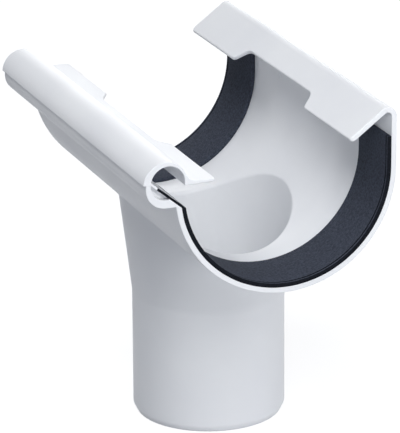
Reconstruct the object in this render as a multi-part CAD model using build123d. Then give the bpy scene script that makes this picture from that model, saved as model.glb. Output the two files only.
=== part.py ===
from build123d import *
from math import cos, hypot, radians, sin, sqrt
import os

# Gutter outlet for a half-round PVC gutter, in millimetres.
# The origin is the middle of the spigot's lower end. +Z is up, +Y runs along the gutter,
# and +X goes from the front bead socket to the rear hook.

# Channel
LENGTH = 212.0              # along the gutter
WALL = 2.8                  # of the channel, the hook and its ledge
CHANNEL_R = 59.0            # outside of the half round
AXIS_Z = 158.5              # height of the channel's axis over the spigot's lower end

# Rear hook: the wall runs straight up, bends over and slopes back down as a ledge
HOOK_BEND_R = 5.0           # outside of the bend
HOOK_STRAIGHT = 25.5        # from the channel's axis up to the bend
LEDGE_SLOPE = 36.4          # degrees below level
LEDGE_LENGTH = 22.1         # down the slope, at the two tabs
NOTCH_DEPTH = 8.8           # up the slope, between the tabs
NOTCH_HALF_MOUTH = 47.8     # half the notch's length at the tabs' tips
NOTCH_HALF_ROOT = 42.0      # and at its bottom
NOTCH_CORNER_R = 7.0

# Front bead socket: a tube with a sloping shelf across it, open towards the channel
BEAD_OUT = 5.0              # from the channel's outside out to the tube's centre
BEAD_UP = 5.2               # from the channel's axis up to the tube's centre
BEAD_R = 11.6               # outside of the tube over its seam
SEAM_UP = 5.9               # from the channel's axis up to the seam, where the tube steps in
CUP_UP = 3.5                # the lower half is rounder: its centre is lower,
CUP_R = 10.3                # and its outside smaller
CAP_R = 8.9                 # bore over the shelf
CAP_SHIFT_X = 1.2           # its centre lies inwards and up from the tube's,
CAP_SHIFT_Z = 0.5           # so the wall thins towards the lip
CORE_R = 7.7                # hollow under the shelf
CORE_DEPTH = 4.0            # of that hollow, in from each end
SHELF_SLOPE = 39.5          # degrees, up and outwards
SHELF_DROP = 5.7            # from the channel's axis down to the shelf's inner corner
SHELF_WALL = 1.2

# Lip that reaches from the tube over the channel
LIP_UP = 5.7                # from the channel's axis up to the lip's top
LIP_WALL = 1.8
LIP_REACH = 26.0            # from the tube's centre to the tips of its two tabs
LIP_STEP = 5.1              # how far it steps back between the tabs
LIP_HALF_MOUTH = 47.2       # half the stepped stretch at the tabs' tips
LIP_HALF_ROOT = 38.0        # and at its bottom
LIP_CORNER_R = 9.0
LIP_ROOT_R = 6.5            # hollow blend from the tube down to the lip

# Spigot, and the funnel that opens it out into the channel
SPIGOT_R = 40.0             # outside, for an 80 mm downpipe
SPIGOT_WALL = 3.0
SPIGOT_STRAIGHT = 66.5      # height of its round stretch
LEAD_IN_HEIGHT = 4.0        # taper at the lower end
LEAD_IN_DEPTH = 2.0
FUNNEL_BELOW = 41.0         # level, under the channel's axis, where it has the two sizes below
FUNNEL_MORE_X = 4.5         # how much further out than the spigot it goes, across the gutter
FUNNEL_MORE_Y = 19.5        # and along it
RIM_R = 3.0                 # rounded rim of the outlet hole
NECK_R = 2.5                # blend outside, where the funnel leaves the channel
SHOULDER_R = 14.0           # soft start of the funnel over the straight spigot

# Rubber seals, one in each end of the channel
SEAL_WIDTH = 35.0           # along the gutter
SEAL_THICK = 2.2
SEAL_UP = 15.4              # from the channel's axis up to the end on the rear wall
TONGUE_LENGTH = 15.6        # of the tongue that takes the shelf's place at the channel's very end
TONGUE_WIDTH = 3.0          # along the gutter

# Sizes that follow from the ones above
HALF = LENGTH / 2
CHANNEL_IN = CHANNEL_R - WALL
SEAL_IN = CHANNEL_IN - SEAL_THICK
BEAD_X = -(CHANNEL_R + BEAD_OUT)
CAP_X = BEAD_X + CAP_SHIFT_X
LIP_TIP_X = BEAD_X + LIP_REACH
LIP_UNDER = LIP_UP - LIP_WALL
CORNER_X = -sqrt(CHANNEL_IN**2 - SHELF_DROP**2)

# Helpers for construction, with no size of the part in them
BIG = 400.0                 # side of a shape that only cuts
PAST = 20.0                 # how far a cut-out runs on past its open side
NEAR = 0.05                 # tolerance for finding an edge by its place


def section_plane(y):
    """Plane across the gutter at that Y. A sketch on it has the channel's axis as its origin."""
    return Plane.XZ.offset(-y) * Location((0, AXIS_Z))


def box(x0, x1, z0, z1):
    return Pos((x0 + x1) / 2, (z0 + z1) / 2) * Rectangle(x1 - x0, z1 - z0)


def ring(outside, inside):
    return Circle(outside) - Circle(inside)


def over(angle, side=1):
    """Half plane over (1) or under (-1) a line through the origin at that angle, in degrees."""
    return Rot(0, 0, angle) * Pos(0, side * BIG / 2) * Rectangle(BIG, BIG)


def over_shelf(lift=0.0, side=1):
    """Space over (1) or under (-1) a line that far above the shelf's upper face, on the bead's side."""
    corner = Pos(CORNER_X, -SHELF_DROP) * Rot(0, 0, -SHELF_SLOPE) * Pos(0, lift)
    return corner * over(0, side) & box(-BIG, CORNER_X + 3 * WALL, -BIG, BIG)


def channel_section():
    """Half round, stopped at the shelf in front."""
    return (ring(CHANNEL_R, CHANNEL_IN) & over(0, -1)) - over_shelf()


def hook_section():
    """Rear wall over the axis, bend and sloping ledge."""
    centre = Pos(CHANNEL_R - HOOK_BEND_R, HOOK_STRAIGHT)
    wall = box(CHANNEL_IN, CHANNEL_R, 0, HOOK_STRAIGHT)
    bend = ring(HOOK_BEND_R, HOOK_BEND_R - WALL) & over(0) & over(90 + LEDGE_SLOPE, -1)
    ledge = box(-LEDGE_LENGTH, 0, HOOK_BEND_R - WALL, HOOK_BEND_R)
    return wall + centre * (bend + Rot(0, 0, LEDGE_SLOPE) * ledge)


def bead_section():
    """Tube with its shelf and lip. The throat under the lip lets the gutter's bead in."""
    dome = Pos(BEAD_X, BEAD_UP) * Circle(BEAD_R) & Pos(0, SEAM_UP) * over(0)
    cup = Pos(BEAD_X, CUP_UP) * Circle(CUP_R) + box(BEAD_X, CORNER_X, CUP_UP - CUP_R, CUP_UP)
    blend_z = LIP_UP + LIP_ROOT_R
    blend_x = BEAD_X + sqrt((BEAD_R + LIP_ROOT_R) ** 2 - (blend_z - BEAD_UP) ** 2)
    blend = Polygon((BEAD_X, BEAD_UP), (blend_x, LIP_UP - LIP_WALL / 2), (blend_x, blend_z), align=None)
    blend = blend - Pos(blend_x, blend_z) * Circle(LIP_ROOT_R)
    lip = box(CAP_X, LIP_TIP_X, LIP_UNDER, LIP_UP)
    cap = Pos(CAP_X, BEAD_UP + CAP_SHIFT_Z) * Circle(CAP_R) & over_shelf()
    throat = box(CAP_X, 0, -CHANNEL_R, LIP_UNDER) & over_shelf()
    return dome + cup + lip + blend - cap - throat


def tongue_section():
    """The seal's tongue, as thick as the shelf and in line with it."""
    tongue = Rot(0, 0, -SHELF_SLOPE) * box(-TONGUE_LENGTH, 2 * SEAL_THICK, -SHELF_WALL, 0)
    return Pos(CORNER_X, -SHELF_DROP) * tongue - Circle(SEAL_IN)


def core_section():
    """The shallow hollow that each end of the tube has under the shelf."""
    return Pos(BEAD_X, BEAD_UP) * Circle(CORE_R) & over_shelf(-SHELF_WALL, -1)


def upright(radius, low, high):
    return Pos(0, 0, (low + high) / 2) * Cylinder(radius, high - low)


def funnel(shrink):
    """Loft from the round spigot up to an oval on the channel's axis, longer along the gutter."""
    share = (AXIS_Z - SPIGOT_STRAIGHT) / (AXIS_Z - FUNNEL_BELOW - SPIGOT_STRAIGHT)
    half_x = SPIGOT_R + FUNNEL_MORE_X * share - shrink
    half_y = SPIGOT_R + FUNNEL_MORE_Y * share - shrink
    low = Pos(0, 0, SPIGOT_STRAIGHT) * Circle(SPIGOT_R - shrink)
    return loft([low, Pos(0, 0, AXIS_Z) * Ellipse(half_x, half_y)], ruled=True)


def spigot():
    """Outside of the spigot, tapered at its lower end to start in the downpipe."""
    lead_in = Cone(SPIGOT_R - LEAD_IN_DEPTH, SPIGOT_R, LEAD_IN_HEIGHT)
    return Pos(0, 0, LEAD_IN_HEIGHT / 2) * lead_in + upright(SPIGOT_R, LEAD_IN_HEIGHT, SPIGOT_STRAIGHT)


def cut_out(half_mouth, half_root, depth, corner_r):
    """Notch with slanted ends and round inner corners. Its mouth is on X = 0 and it runs towards +X."""
    side = [(-PAST, half_mouth), (0, half_mouth), (depth, half_root)]
    face = Polygon(*side, *[(x, -y) for x, y in reversed(side)], align=None)
    return fillet(face.vertices().sort_by(Axis.X)[-2:], corner_r)


def ledge_notch():
    """Gap between the ledge's two tabs, cut square to the ledge."""
    slope = radians(LEDGE_SLOPE)
    up_slope = (cos(slope), 0, sin(slope))
    tip_x = CHANNEL_R - HOOK_BEND_R * (1 + sin(slope)) - LEDGE_LENGTH * cos(slope)
    tip_z = AXIS_Z + HOOK_STRAIGHT + HOOK_BEND_R * cos(slope) - LEDGE_LENGTH * sin(slope)
    ledge = Plane(origin=(tip_x, 0, tip_z), x_dir=up_slope, z_dir=(-sin(slope), 0, cos(slope)))
    face = cut_out(NOTCH_HALF_MOUTH, NOTCH_HALF_ROOT, NOTCH_DEPTH, NOTCH_CORNER_R)
    return extrude(ledge * face, amount=2 * WALL, both=True)


def lip_step():
    """The stretch between the lip's two tabs, where it is narrower."""
    face = cut_out(LIP_HALF_MOUTH, LIP_HALF_ROOT, LIP_STEP, LIP_CORNER_R)
    level = Plane.XY.offset(AXIS_Z + LIP_UP)
    return extrude(level * Pos(LIP_TIP_X, 0) * Rot(0, 0, 180) * face, amount=2 * LIP_WALL, both=True)


def round_hole_edges(body, radius, size):
    """Rounds the edge where the funnel meets the channel's inner or outer cylinder."""
    def on_it(edge):
        points = [edge @ t for t in (0.0, 0.2, 0.5, 0.8, 1.0)]
        return all(abs(hypot(p.X, p.Z - AXIS_Z) - radius) < NEAR and abs(p.Y) < HALF - NEAR for p in points)
    return fillet(body.edges().filter_by(on_it), size)


def round_shoulder(body):
    """Softens the start of the funnel, inside and outside."""
    def on_it(edge):
        return all(abs((edge @ t).Z - SPIGOT_STRAIGHT) < NEAR for t in (0.0, 0.4, 1.0))
    return fillet(body.edges().filter_by(on_it), SHOULDER_R)


def outlet_body():
    """The whole moulding: one section along the gutter, with the funnel and spigot under it."""
    section = channel_section() + hook_section() + bead_section()
    body = extrude(section_plane(HALF) * section, amount=LENGTH)
    inside = extrude(section_plane(HALF) * Circle(CHANNEL_IN), amount=LENGTH)
    body = body + (funnel(0) + spigot() - inside)
    body = body - (funnel(SPIGOT_WALL) + upright(SPIGOT_R - SPIGOT_WALL, 0, SPIGOT_STRAIGHT))
    body = body - ledge_notch() - lip_step()
    body = round_hole_edges(body, CHANNEL_IN, RIM_R)
    body = round_hole_edges(body, CHANNEL_R, NECK_R)
    body = round_shoulder(body)
    for end in (-1, 1):
        face = section_plane(end * HALF)
        body = body - extrude(face * core_section(), amount=end * CORE_DEPTH)
        body = body - extrude(face * tongue_section(), amount=end * TONGUE_WIDTH)
    return body


def seal(end):
    """Strip of rubber in the end at -Y (-1) or +Y (1), from under the hook round to the shelf."""
    band = (ring(CHANNEL_IN, SEAL_IN) & over(0, -1)) - over_shelf()
    riser = box(SEAL_IN, CHANNEL_IN, 0, SEAL_UP)
    face = section_plane(end * HALF)
    strip = extrude(face * (band + riser), amount=end * SEAL_WIDTH)
    return strip + extrude(face * tongue_section(), amount=end * TONGUE_WIDTH)


os.makedirs("parts", exist_ok=True)
export_step(outlet_body(), "parts/outlet_body.step")
export_step(seal(-1), "parts/seal_front.step")
export_step(seal(1), "parts/seal_back.step")
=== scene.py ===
# %% [markdown]
# # A gutter outlet in white PVC
# The object is one injection moulding: a half-round channel that joins two gutter ends, with a bead
# socket in front, a hook ledge behind, and a funnel that runs down into a round spigot. A black
# rubber seal lines each end. Its exact solids come from the CAD model. This scene adds what makes
# them look real: rounded edges, finishes, the small marks of moulding, soft light, and a camera at
# the photograph's angle.

# %% Load the CAD parts
import math

import bpy
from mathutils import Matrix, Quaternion, Vector


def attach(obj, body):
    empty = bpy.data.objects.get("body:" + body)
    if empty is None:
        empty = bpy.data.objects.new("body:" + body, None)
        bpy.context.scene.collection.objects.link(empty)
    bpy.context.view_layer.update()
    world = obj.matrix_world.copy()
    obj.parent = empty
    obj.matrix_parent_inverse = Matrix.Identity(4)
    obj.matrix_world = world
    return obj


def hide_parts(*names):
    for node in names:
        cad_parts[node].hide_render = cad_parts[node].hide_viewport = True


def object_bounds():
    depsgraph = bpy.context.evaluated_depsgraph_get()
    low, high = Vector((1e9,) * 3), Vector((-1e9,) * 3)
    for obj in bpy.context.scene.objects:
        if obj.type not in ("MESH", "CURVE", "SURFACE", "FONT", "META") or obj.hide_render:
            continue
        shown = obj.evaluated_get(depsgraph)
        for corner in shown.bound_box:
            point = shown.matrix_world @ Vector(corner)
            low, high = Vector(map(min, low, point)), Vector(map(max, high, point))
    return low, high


MM = 0.001
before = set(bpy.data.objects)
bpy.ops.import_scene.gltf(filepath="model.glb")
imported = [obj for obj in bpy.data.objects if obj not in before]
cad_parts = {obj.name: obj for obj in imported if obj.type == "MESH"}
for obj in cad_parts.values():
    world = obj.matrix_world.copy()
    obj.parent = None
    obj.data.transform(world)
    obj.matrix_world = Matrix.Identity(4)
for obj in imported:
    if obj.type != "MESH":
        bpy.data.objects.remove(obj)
cad_box = [list(corner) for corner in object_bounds()]
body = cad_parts["outlet_body"]
seals = [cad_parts["seal_front"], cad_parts["seal_back"]]
bpy.ops.object.select_all(action="DESELECT")
print("CAD box in mm:", [[round(v / MM, 1) for v in corner] for corner in cad_box])

# %% [markdown]
# ## Helpers for materials
# Blender's shaders want linear colour, but a colour picker and a paint card speak sRGB hex. One
# function turns the first into the second. Another adds a node with its settings and links in one
# call, which keeps the materials below short enough to read from top to bottom.

# %% Colour and node helpers
# A Mix node has its factor first, its colours in its seventh and eighth inputs, and their mix in its
# third output.
MIX_FACTOR = 0
MIX_A = 6
MIX_B = 7
MIX_RESULT = 2


def linear(hex_colour):
    """Linear RGBA from an sRGB hex value."""
    parts = [int(hex_colour[i : i + 2], 16) / 255 for i in (0, 2, 4)]
    curve = [c / 12.92 if c <= 0.04045 else ((c + 0.055) / 1.055) ** 2.4 for c in parts]
    return (*curve, 1.0)


def add_node(tree, kind, settings=None, links=None):
    """Adds a node, sets its inputs and properties, and links outputs of other nodes to its inputs."""
    node = tree.nodes.new(kind)
    for name, value in (settings or {}).items():
        if isinstance(name, int) or name in node.inputs:
            node.inputs[name].default_value = value
        else:
            setattr(node, name, value)
    for name, output in (links or {}).items():
        tree.links.new(output, node.inputs[name])
    return node


def new_material(name):
    """An empty node material and its output node."""
    material = bpy.data.materials.new(name)
    material.use_nodes = True
    material.node_tree.nodes.clear()
    return material, add_node(material.node_tree, "ShaderNodeOutputMaterial")


def seen_directly(tree):
    """1 for rays that show a surface to the camera, straight or by a reflection, and 0 for its light."""
    path = add_node(tree, "ShaderNodeLightPath")
    seen = path.outputs["Is Camera Ray"]
    for ray in ("Is Glossy Ray", "Is Transmission Ray"):
        both = add_node(
            tree, "ShaderNodeMath", {"operation": "MAXIMUM"}, {0: seen, 1: path.outputs[ray]}
        )
        seen = both.outputs["Value"]
    return seen


# %% [markdown]
# ## White PVC, injection moulded
# Unplasticised PVC with titanium dioxide is a cool, opaque white. A polished steel mould gives it a
# satin gloss: reflections are there, but soft. Two things keep such a plain surface from looking
# like paint in a computer. Its tone and gloss vary a little over some centimetres, along the melt's
# flow. And the wall shrinks as it cools, so the face waves by hundredths of a millimetre.

# %% PVC material
PVC_WHITE = "EDEFF2"
PVC_SHADE = "E8EAEE"
FLOW_MM = 60.0
ROUGHNESS_RANGE = (0.40, 0.46)
WAVE_MM = 22.0
WAVE_HEIGHT_MM = 0.4
WAVE_STRENGTH = 0.12
GRAIN_MM = 0.9
GRAIN_HEIGHT_MM = 0.02
GRAIN_STRENGTH = 0.10
EDGE_SOFTNESS_MM = 0.3
EDGE_SAMPLES = 6

pvc, output = new_material("pvc_injection_moulded_satin")
tree = pvc.node_tree
place = add_node(tree, "ShaderNodeTexCoord")
flow = add_node(
    tree,
    "ShaderNodeTexNoise",
    {"Scale": 1 / (FLOW_MM * MM), "Detail": 3.0, "Roughness": 0.5},
    {"Vector": place.outputs["Object"]},
)
flow_range = add_node(
    tree,
    "ShaderNodeMapRange",
    {"From Min": 0.35, "From Max": 0.65},
    {"Value": flow.outputs["Fac"]},
)
tint = add_node(
    tree,
    "ShaderNodeMix",
    {"data_type": "RGBA", MIX_A: linear(PVC_WHITE), MIX_B: linear(PVC_SHADE)},
    {MIX_FACTOR: flow_range.outputs["Result"]},
)
gloss = add_node(
    tree,
    "ShaderNodeMapRange",
    {"From Min": 0.3, "From Max": 0.7, "To Min": ROUGHNESS_RANGE[0], "To Max": ROUGHNESS_RANGE[1]},
    {"Value": flow.outputs["Fac"]},
)
print("PVC is", PVC_WHITE, "to", PVC_SHADE, "with a roughness of", ROUGHNESS_RANGE)

# %% [markdown]
# The relief is a chain of normals: the soft edges first, then the broad waves, then the fine grain.
# Each bump takes the normal of the one before.

# %% PVC relief and shader
rounded = add_node(
    tree, "ShaderNodeBevel", {"samples": EDGE_SAMPLES, "Radius": EDGE_SOFTNESS_MM * MM}
)
wave = add_node(
    tree,
    "ShaderNodeTexNoise",
    {"Scale": 1 / (WAVE_MM * MM), "Detail": 1.0},
    {"Vector": place.outputs["Object"]},
)
wave_bump = add_node(
    tree,
    "ShaderNodeBump",
    {"Strength": WAVE_STRENGTH, "Distance": WAVE_HEIGHT_MM * MM},
    {"Height": wave.outputs["Fac"], "Normal": rounded.outputs["Normal"]},
)
grain = add_node(
    tree,
    "ShaderNodeTexNoise",
    {"Scale": 1 / (GRAIN_MM * MM), "Detail": 2.0},
    {"Vector": place.outputs["Object"]},
)
grain_bump = add_node(
    tree,
    "ShaderNodeBump",
    {"Strength": GRAIN_STRENGTH, "Distance": GRAIN_HEIGHT_MM * MM},
    {"Height": grain.outputs["Fac"], "Normal": wave_bump.outputs["Normal"]},
)
shader = add_node(
    tree,
    "ShaderNodeBsdfPrincipled",
    {"IOR": 1.53, "Specular IOR Level": 0.25},
    {
        "Base Color": tint.outputs[MIX_RESULT],
        "Roughness": gloss.outputs["Result"],
        "Normal": grain_bump.outputs["Normal"],
    },
)
tree.links.new(shader.outputs["BSDF"], output.inputs["Surface"])
print("PVC material has", len(tree.nodes), "nodes")

# %% [markdown]
# ## EPDM rubber
# The seals are soft EPDM, black with carbon. The strip is matt and faintly granular, because the
# rubber is foamed a little so that it gives under the gutter. The grains are drawn coarser than the
# real ones, which are a tenth of a millimetre, so that they still show at this picture's size. The
# strip's face looks greyer than its cut end because it catches the lamps' sheen; the cut end gets
# a darker copy of this rubber below, as painted shade.

# %% Rubber material
RUBBER_BLACK = "32363F"
RUBBER_GREY = "494E5B"
PORE_MM = 1.1
SKIN_MM = 0.5
SKIN_HEIGHT_MM = 0.08
SKIN_STRENGTH = 0.5
RUBBER_SOFTNESS_MM = 0.4

rubber, output = new_material("epdm_rubber_matt")
tree = rubber.node_tree
place = add_node(tree, "ShaderNodeTexCoord")
pores = add_node(
    tree,
    "ShaderNodeTexNoise",
    {"Scale": 1 / (PORE_MM * MM), "Detail": 4.0, "Roughness": 0.7},
    {"Vector": place.outputs["Object"]},
)
pore_range = add_node(
    tree,
    "ShaderNodeMapRange",
    {"From Min": 0.35, "From Max": 0.65},
    {"Value": pores.outputs["Fac"]},
)
speckle = add_node(
    tree,
    "ShaderNodeMix",
    {"data_type": "RGBA", MIX_A: linear(RUBBER_BLACK), MIX_B: linear(RUBBER_GREY)},
    {MIX_FACTOR: pore_range.outputs["Result"]},
)
rounded = add_node(
    tree, "ShaderNodeBevel", {"samples": EDGE_SAMPLES, "Radius": RUBBER_SOFTNESS_MM * MM}
)
skin = add_node(
    tree,
    "ShaderNodeTexNoise",
    {"Scale": 1 / (SKIN_MM * MM), "Detail": 3.0},
    {"Vector": place.outputs["Object"]},
)
skin_bump = add_node(
    tree,
    "ShaderNodeBump",
    {"Strength": SKIN_STRENGTH, "Distance": SKIN_HEIGHT_MM * MM},
    {"Height": skin.outputs["Fac"], "Normal": rounded.outputs["Normal"]},
)
shader = add_node(
    tree,
    "ShaderNodeBsdfPrincipled",
    {"IOR": 1.5, "Specular IOR Level": 0.05, "Roughness": 0.75},
    {"Base Color": speckle.outputs[MIX_RESULT], "Normal": skin_bump.outputs["Normal"]},
)
tree.links.new(shader.outputs["BSDF"], output.inputs["Surface"])
print("rubber material has", len(tree.nodes), "nodes")

# %% [markdown]
# The faces at the strip's cut end and down in its groove are painted darker: painted shade. In the
# groove it stands in for the shade of the recess, and at the cut end for the sheen that the strip's
# face catches and the end does not. That is the same material with two darker colours in its Mix
# node, so it starts as a copy.

# %% Rubber with painted shade at the cut end and in the groove
PAINTED_SHADE_BLACK = "101217"
PAINTED_SHADE_GREY = "1B1E25"

painted_shade_rubber = rubber.copy()
painted_shade_rubber.name = "epdm_rubber_painted_shade"
painted_shade_speckle = painted_shade_rubber.node_tree.nodes[speckle.name]
painted_shade_speckle.inputs[MIX_A].default_value = linear(PAINTED_SHADE_BLACK)
painted_shade_speckle.inputs[MIX_B].default_value = linear(PAINTED_SHADE_GREY)
print(painted_shade_rubber.name, "goes from", PAINTED_SHADE_BLACK, "to", PAINTED_SHADE_GREY)

# %% [markdown]
# ## Helpers for modelling
# A CAD solid arrives as loose triangles. Its own mesh stays as it is, for collisions, and a merged
# copy stands for it in the picture. The other helpers click on an object, pick its faces by place
# or direction, and round its sharp edges.

# %% Mesh helpers
MERGE_MM = 0.01
FLAT_ANGLE = math.radians(0.5)
SMOOTH_ANGLE = math.radians(35)
# A face looks in a direction when the cosine of the angle between them is above this.
FACING = 0.9


def activate(piece):
    """Makes the piece the active and the only selected object, as a click on it does."""
    bpy.ops.object.select_all(action="DESELECT")
    piece.select_set(True)
    bpy.context.view_layer.objects.active = piece


def merged_copy(node, name):
    """A piece of its own from a CAD node: its triangles merged, and flat stretches made one face."""
    piece = bpy.data.objects.new(name, node.data.copy())
    bpy.context.scene.collection.objects.link(piece)
    activate(piece)
    bpy.ops.object.mode_set(mode="EDIT")
    bpy.ops.mesh.select_all(action="SELECT")
    bpy.ops.mesh.remove_doubles(threshold=MERGE_MM * MM)
    bpy.ops.mesh.dissolve_limited(angle_limit=FLAT_ANGLE)
    bpy.ops.object.mode_set(mode="OBJECT")
    return piece


def select_faces(piece, wanted):
    """Selects the faces for which wanted(face) is true, and nothing else. Returns their number."""
    bpy.ops.object.mode_set(mode="EDIT")
    bpy.ops.mesh.select_all(action="DESELECT")
    bpy.ops.mesh.select_mode(type="FACE")
    bpy.ops.object.mode_set(mode="OBJECT")
    for face in piece.data.polygons:
        face.select = wanted(face)
    return sum(face.select for face in piece.data.polygons)


def round_edges(piece, width_mm, segments, sharp_angle):
    """Rounds every edge of the active piece that is sharper than the angle."""
    bevel = piece.modifiers.new("rounded edges", "BEVEL")
    bevel.width = width_mm * MM
    bevel.segments = segments
    bevel.limit_method = "ANGLE"
    bevel.angle_limit = sharp_angle
    bpy.ops.object.modifier_apply(modifier=bevel.name)
    bpy.ops.object.shade_smooth_by_angle(angle=SMOOTH_ANGLE)


# %% [markdown]
# ## The two seal strips
# The CAD model has each seal as a plain strip with sharp edges. In the photograph a dark line runs
# along the strip, near the channel's open end: a shallow groove. Two cuts, square to the gutter,
# mark off its band, and the faces of the band that look at the channel's axis are pressed in by a
# third of a millimetre.

# %% Seal strips with their grooves
CHANNEL_AXIS = Vector((0.0, 0.0, 158.5)) * MM
CHANNEL_END = cad_box[1][1]
GROOVE_FROM_END_MM = 1.3
GROOVE_WIDTH_MM = 0.9
GROOVE_DEPTH_MM = 0.35


def cut_across(piece, y):
    """Cuts every face of the active piece that crosses that Y."""
    bpy.ops.object.mode_set(mode="EDIT")
    bpy.ops.mesh.select_all(action="SELECT")
    bpy.ops.mesh.bisect(plane_co=(0, y, 0), plane_no=(0, 1, 0))
    bpy.ops.object.mode_set(mode="OBJECT")


def in_band(face, middle_y):
    """True where the face lies between the groove's two cuts."""
    return abs(face.center.y - middle_y) < GROOVE_WIDTH_MM / 2 * MM


def faces_axis(face):
    """True where the face looks at the channel's axis."""
    inwards = CHANNEL_AXIS - face.center
    inwards.y = 0
    return face.normal.dot(inwards.normalized()) > FACING


strips = []
for seal, end in zip(seals, (-1, 1)):
    strip = merged_copy(seal, seal.name + "_strip")
    groove_y = end * (CHANNEL_END - (GROOVE_FROM_END_MM + GROOVE_WIDTH_MM / 2) * MM)
    for side in (end, -end):
        cut_across(strip, groove_y + side * GROOVE_WIDTH_MM / 2 * MM)
    count = select_faces(strip, lambda face: in_band(face, groove_y) and faces_axis(face))
    bpy.ops.object.mode_set(mode="EDIT")
    bpy.ops.mesh.extrude_region_shrink_fatten(
        TRANSFORM_OT_shrink_fatten={"value": -GROOVE_DEPTH_MM * MM}
    )
    bpy.ops.object.mode_set(mode="OBJECT")
    strips.append((strip, seal, end, groove_y))
    print(strip.name, "has", count, "faces in its groove")

# %% [markdown]
# Rubber never has a sharp edge. A bevel rounds every one after the groove is in, so that the
# groove's own edges are soft too. Then the faces at the cut end and in the groove get the darker
# rubber, whose colour is painted shade.

# %% Seal strips rounded
RUBBER_EDGE_MM = 0.45
RUBBER_SHARP_ANGLE = math.radians(40)
CUT_FACING = 0.35

for strip, seal, end, groove_y in strips:
    activate(strip)
    round_edges(strip, RUBBER_EDGE_MM, segments=3, sharp_angle=RUBBER_SHARP_ANGLE)
    strip.data.materials.clear()
    strip.data.materials.append(rubber)
    strip.data.materials.append(painted_shade_rubber)
    # The cut end and the groove get the darker rubber: painted shade.
    for face in strip.data.polygons:
        at_cut = face.normal.y * end > CUT_FACING
        face.material_index = int(at_cut or in_band(face, groove_y))
    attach(strip, "root")
    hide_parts(seal.name)
    print(strip.name, "has", len(strip.data.polygons), "faces")

# %% [markdown]
# ## The moulding with its rounded edges
# A moulded part has no knife edge: the steel of its mould is ground round by a third of a
# millimetre. The free edges of the ledge and the lip are rounder still, so that fingers and gutter
# slide over them. The shape starts from a merged copy of the CAD solid. First the corners of the
# tabs are rounded as seen from above. These are the sharp edges on the ledge and the lip that run
# straight through the wall, so both their ends have the same Y.

# %% Moulding with rounded tab corners
SHARP_ANGLE = math.radians(35)
SAME_PLACE_MM = 0.01
TAB_CORNER_MM = 1.6
LEDGE_ABOVE_MM = 168
LEDGE_X_MM = (30, 46)
LIP_ABOVE_MM = 161
LIP_X_MM = (-44, -37.9)


def select_edges(piece, wanted):
    """Selects the sharp edges for which wanted(end, other_end), in mm, is true. Returns their number."""
    bpy.ops.object.mode_set(mode="EDIT")
    bpy.ops.mesh.select_mode(type="EDGE")
    bpy.ops.mesh.select_all(action="DESELECT")
    bpy.ops.mesh.edges_select_sharp(sharpness=SHARP_ANGLE)
    bpy.ops.object.mode_set(mode="OBJECT")
    sharp = [edge.index for edge in piece.data.edges if edge.select]
    bpy.ops.object.mode_set(mode="EDIT")
    bpy.ops.mesh.select_all(action="DESELECT")
    bpy.ops.object.mode_set(mode="OBJECT")
    for index in sharp:
        edge = piece.data.edges[index]
        edge.select = wanted(*[piece.data.vertices[i].co / MM for i in edge.vertices])
    return sum(edge.select for edge in piece.data.edges)


def on_ledge(point):
    return point.z > LEDGE_ABOVE_MM and LEDGE_X_MM[0] < point.x < LEDGE_X_MM[1]


def on_lip(point):
    return point.z > LIP_ABOVE_MM and LIP_X_MM[0] < point.x < LIP_X_MM[1]


moulding = merged_copy(body, "outlet_moulding")
for name, on_it in (("ledge", on_ledge), ("lip", on_lip)):
    corners = select_edges(
        moulding, lambda a, b: on_it(a) and on_it(b) and abs(a.y - b.y) < SAME_PLACE_MM
    )
    bpy.ops.object.mode_set(mode="EDIT")
    bpy.ops.mesh.bevel(offset=TAB_CORNER_MM * MM, segments=4, affect="EDGES")
    bpy.ops.object.mode_set(mode="OBJECT")
    print(corners, "corners rounded on the", name)

# %% [markdown]
# Then every sharp edge gets a bevel weight, and the free edges a higher one. A weight is the share
# of the largest rounding that an edge will get. Only the thin inner corners at the bead socket's
# ends stay sharp, because two roundings wouldn't fit side by side there.

# %% Bevel weights
EDGE_MM = 0.35
LEDGE_EDGE_MM = 1.1
LIP_EDGE_MM = 0.7
TUBE_MIDDLE = Vector((-64.0, 0.0, 163.7))
TUBE_BORE_MM = 9.3
SHELF_FOOT = Vector((-55.8, 0.0, 152.0))
SHELF_FOOT_MM = 1.5
SOCKET_END_MM = 101


def in_socket(point):
    """True for the thin inner corners at the bead socket's ends."""
    in_bore = (point - TUBE_MIDDLE).xz.length < TUBE_BORE_MM
    at_foot = (point - SHELF_FOOT).xz.length < SHELF_FOOT_MM
    return abs(point.y) > SOCKET_END_MM and (in_bore or at_foot)


def set_weight(piece, wanted, weight):
    """Gives the wanted sharp edges that bevel weight. Blender adds weights, so the old one goes first."""
    count = select_edges(piece, wanted)
    bpy.ops.object.mode_set(mode="EDIT")
    bpy.ops.transform.edge_bevelweight(value=-1)
    bpy.ops.transform.edge_bevelweight(value=weight)
    bpy.ops.object.mode_set(mode="OBJECT")
    return count


weights = (
    ("all over", lambda a, b: not in_socket(a) and not in_socket(b), EDGE_MM),
    ("ledge", lambda a, b: on_ledge(a) and on_ledge(b), LEDGE_EDGE_MM),
    ("lip", lambda a, b: on_lip(a) and on_lip(b), LIP_EDGE_MM),
)
for name, wanted, width in weights:
    count = set_weight(moulding, wanted, width / LEDGE_EDGE_MM)
    print(count, "edges,", name + ", get a rounding of", width, "mm")

# %% [markdown]
# One Bevel modifier rounds them all by their weights, so that the roundings meet cleanly. Smooth
# shading would then bend the light on the flat faces beside them. A Weighted Normal modifier lets
# the large flat faces decide, which keeps them flat.

# %% Rounded moulding
MOULDING_SMOOTH_ANGLE = math.radians(20)

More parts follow.
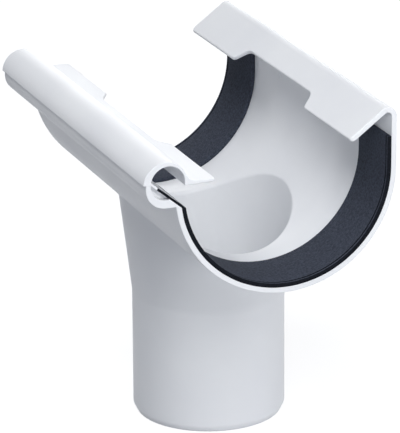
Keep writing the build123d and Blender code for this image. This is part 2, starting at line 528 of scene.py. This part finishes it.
bevel = moulding.modifiers.new("rounded edges", "BEVEL")
bevel.width = LEDGE_EDGE_MM * MM
bevel.segments = 3
bevel.limit_method = "WEIGHT"
bevel.use_clamp_overlap = False
bevel.loop_slide = False
bpy.ops.object.modifier_apply(modifier=bevel.name)
bpy.ops.object.shade_smooth_by_angle(angle=MOULDING_SMOOTH_ANGLE)
flat = moulding.modifiers.new("flat faces stay flat", "WEIGHTED_NORMAL")
flat.keep_sharp = True
bpy.ops.object.modifier_apply(modifier=flat.name)
moulding.data.materials.clear()
moulding.data.materials.append(pvc)
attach(moulding, "root")
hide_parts(body.name)
print(moulding.name, "has", len(moulding.data.polygons), "faces")

# %% [markdown]
# ## Two ribs under the ledge
# Two hair-thin ribs run up the rear wall to the ledge, near the ends of its notch, and stiffen the
# corner when a gutter is pressed home. In the photograph only the foot of the far one shows, as a
# light tick. Each starts as a cube, stretched to the rib's size and sunk a little into the wall. A
# cut near its lower end and a smaller bottom face make the foot run out to a point, and its free
# edges are rounded.

# %% Ledge ribs
RIB_WIDTH_MM = 0.7
RIB_PROUD_MM = 0.45
RIB_SUNK_MM = 0.3
RIB_FOOT_MM = 163.6
RIB_RUN_OUT_MM = 2.5
RIB_TOP_MM = 182.0
RIB_FROM_MIDDLE_MM = 37.2
RIB_EDGE_MM = 0.15
RIB_SHARP_ANGLE = math.radians(30)
RIB_FOOT_SHARE = (0.3, 0.6, 1)
REAR_WALL_MM = 56.2

for side, end in (("front", -1), ("back", 1)):
    depth = RIB_PROUD_MM + RIB_SUNK_MM
    height = RIB_TOP_MM - RIB_FOOT_MM
    middle_x = REAR_WALL_MM + (RIB_SUNK_MM - RIB_PROUD_MM) / 2
    middle = Vector((middle_x, end * RIB_FROM_MIDDLE_MM, RIB_FOOT_MM + height / 2)) * MM
    bpy.ops.mesh.primitive_cube_add(size=1.0, location=(0, 0, 0))
    rib = bpy.context.object
    rib.name = "ledge_rib_" + side
    bpy.ops.object.mode_set(mode="EDIT")
    bpy.ops.mesh.select_all(action="SELECT")
    bpy.ops.transform.resize(value=(depth * MM, RIB_WIDTH_MM * MM, height * MM))
    bpy.ops.transform.translate(value=middle)
    bpy.ops.mesh.bisect(
        plane_co=(0, 0, (RIB_FOOT_MM + RIB_RUN_OUT_MM) * MM), plane_no=(0, 0, 1)
    )
    bpy.ops.object.mode_set(mode="OBJECT")
    select_faces(rib, lambda face: face.normal.z < -FACING)
    bpy.ops.object.mode_set(mode="EDIT")
    bpy.ops.transform.resize(
        value=RIB_FOOT_SHARE, center_override=(REAR_WALL_MM * MM, middle.y, 0)
    )
    bpy.ops.object.mode_set(mode="OBJECT")
    round_edges(rib, RIB_EDGE_MM, segments=2, sharp_angle=RIB_SHARP_ANGLE)
    rib.data.materials.append(pvc)
    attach(rib, "root")
    print(rib.name, "has", len(rib.data.polygons), "faces")

# %% [markdown]
# ## The floor
# The outlet stands on its spigot, on a plain white table that runs to the horizon. The camera and
# every mirror reflection see it as white paper with a faint shadow. What it throws back up at the
# object is less, as from a grey card, because in the photograph the undersides stay darker than a
# white table would leave them.

# %% Floor
FLOOR_SIZE_M = 12.0
PAPER_GLOW = 0.86
PAPER_SHADING = "8A8C90"
BOUNCE_GREY = "92959B"

bpy.ops.mesh.primitive_plane_add(size=FLOOR_SIZE_M)
floor = bpy.context.object
floor.name = "floor"
paper, output = new_material("floor_white_paper")
tree = paper.node_tree
glow = add_node(tree, "ShaderNodeEmission", {"Color": (1, 1, 1, 1), "Strength": PAPER_GLOW})
shading = add_node(tree, "ShaderNodeBsdfDiffuse", {"Color": linear(PAPER_SHADING)})
seen = add_node(
    tree, "ShaderNodeAddShader", None, {0: glow.outputs["Emission"], 1: shading.outputs["BSDF"]}
)
bounce = add_node(tree, "ShaderNodeBsdfDiffuse", {"Color": linear(BOUNCE_GREY)})
mixed = add_node(
    tree,
    "ShaderNodeMixShader",
    None,
    {"Fac": seen_directly(tree), 1: bounce.outputs["BSDF"], 2: seen.outputs["Shader"]},
)
tree.links.new(mixed.outputs["Shader"], output.inputs["Surface"])
floor.data.materials.append(paper)
print("floor is", FLOOR_SIZE_M, "m wide")

# %% [markdown]
# ## The room
# The camera and every mirror reflection see a pure white background. What lights the object from
# all round is a dim, bluish room instead, which only fills the shadows.

# %% World
ROOM_LIGHT = 0.12
ROOM_BLUE = "DCE6FA"

world = bpy.data.worlds.new("studio_room")
bpy.context.scene.world = world
world.use_nodes = True
tree = world.node_tree
tree.nodes.clear()
output = add_node(tree, "ShaderNodeOutputWorld")
room = add_node(tree, "ShaderNodeBackground", {"Color": linear(ROOM_BLUE), "Strength": ROOM_LIGHT})
white = add_node(tree, "ShaderNodeBackground", {"Color": (1, 1, 1, 1), "Strength": 1.0})
mixed = add_node(
    tree,
    "ShaderNodeMixShader",
    None,
    {"Fac": seen_directly(tree), 1: room.outputs["Background"], 2: white.outputs["Background"]},
)
tree.links.new(mixed.outputs["Shader"], output.inputs["Surface"])
print("room light is", ROOM_LIGHT)

# %% [markdown]
# ## Light
# A product photograph of a white part needs large, soft lamps, or it turns to flat glare. Two high
# ones, at the left and in front, light the dome, the ledge and the funnel's inside, and leave the
# rear wall dark under its ledge. A low one in front lifts the near end. A smaller one, low and to
# the right of it, draws the upright band on the spigot. The last three, at the right and behind,
# keep those sides from going grey.

# %% Lamps
AIM = Vector((0.0, 0.0, 0.11))
# Each lamp has its azimuth and elevation in degrees, its distance and size in metres, and its watts.
LAMPS = {
    "lamp_left_top": (-90, 70, 1.4, (0.7, 0.7), 7.5),
    "lamp_front": (-15, 42, 1.4, (0.7, 0.7), 8.1),
    "lamp_front_low": (-30, 8, 1.4, (0.6, 0.6), 3.9),
    "lamp_low_right": (25, -2, 1.2, (0.45, 0.3), 5.5),
    "lamp_right": (80, 20, 1.4, (0.7, 0.7), 5.4),
    "lamp_back": (160, 12, 1.4, (0.7, 0.7), 4.0),
    "lamp_back_left": (-140, 8, 1.4, (0.7, 0.7), 0.8),
}


def direction(azimuth, elevation):
    """Unit vector from the object towards a place round it. Azimuth 0 is -Y, and azimuth 90 is +X."""
    turn, rise = math.radians(azimuth), math.radians(elevation)
    level = math.cos(rise)
    return Vector((math.sin(turn) * level, -math.cos(turn) * level, math.sin(rise)))


for name, (azimuth, elevation, distance, size, watts) in LAMPS.items():
    away = direction(azimuth, elevation)
    bpy.ops.object.light_add(type="AREA", location=AIM + away * distance)
    light = bpy.context.object
    light.name = name
    light.rotation_euler = away.to_track_quat("Z", "Y").to_euler()
    light.data.shape = "RECTANGLE"
    light.data.size, light.data.size_y = size
    light.data.energy = watts
    light.visible_camera = False
    print(name, "has", watts, "watts")

# %% [markdown]
# ## Camera
# The photograph was taken from the front left and a little above, with a long lens: lines that run
# along the gutter hardly converge. The place, the aim and the small roll come from a fit to the
# object's own outlines in the photograph.

# %% Camera
CAMERA_AZIMUTH = -21.543
CAMERA_ELEVATION = 19.030
CAMERA_ROLL = -0.389
CAMERA_DISTANCE_M = 1.9275
CAMERA_AIM = Vector((-0.005112, -0.001929, 0.10678))
FOCAL_PIXELS = 3703.25
PICTURE_HEIGHT = 433
SENSOR_MM = 36.0
CLIP_END_M = 50

away = direction(CAMERA_AZIMUTH, CAMERA_ELEVATION)
bpy.ops.object.camera_add(location=CAMERA_AIM + away * CAMERA_DISTANCE_M)
camera = bpy.context.object
camera.name = "camera_photo"
camera.rotation_mode = "QUATERNION"
roll = Quaternion(away, math.radians(CAMERA_ROLL))
camera.rotation_quaternion = roll @ away.to_track_quat("Z", "Y")
camera.data.sensor_width = SENSOR_MM
camera.data.lens = FOCAL_PIXELS / PICTURE_HEIGHT * SENSOR_MM
camera.data.clip_end = CLIP_END_M
bpy.context.scene.camera = camera
bpy.context.scene.view_settings.view_transform = "Standard"
print("lens is", round(camera.data.lens, 1), "mm")
